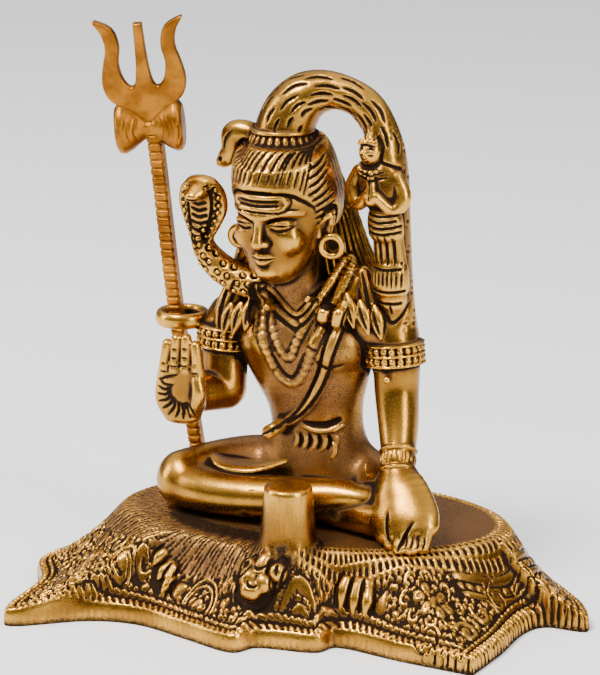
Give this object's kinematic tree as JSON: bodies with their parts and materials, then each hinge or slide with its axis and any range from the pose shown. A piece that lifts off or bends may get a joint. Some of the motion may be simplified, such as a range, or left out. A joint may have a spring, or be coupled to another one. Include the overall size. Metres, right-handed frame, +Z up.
{
  "type": "shiva figure",
  "caption": "Seated cross-legged deity cast with a draped low base, a cobra at one shoulder, an arch of hair over the other and a loose trident in a ring.",
  "frame": {"origin": "centre of the base's outline, on the underside it rests on", "axes": "+Z up, -Y the way the god's seat faces, +X to the god's left; the figure is turned 6 degrees to its right"},
  "size_m": [0.178, 0.1, 0.1812],
  "materials": {
    "antique_gold": "cast, polished gold on the high parts, brown and rough where it wasn't polished, black in the recesses",
    "bare_gold": "brushed orange gold with no black in it"
  },
  "bodies": {
    "root": {"base": "antique_gold", "figure": "antique_gold", "trident": "bare_gold"}
  },
  "joints": []
}
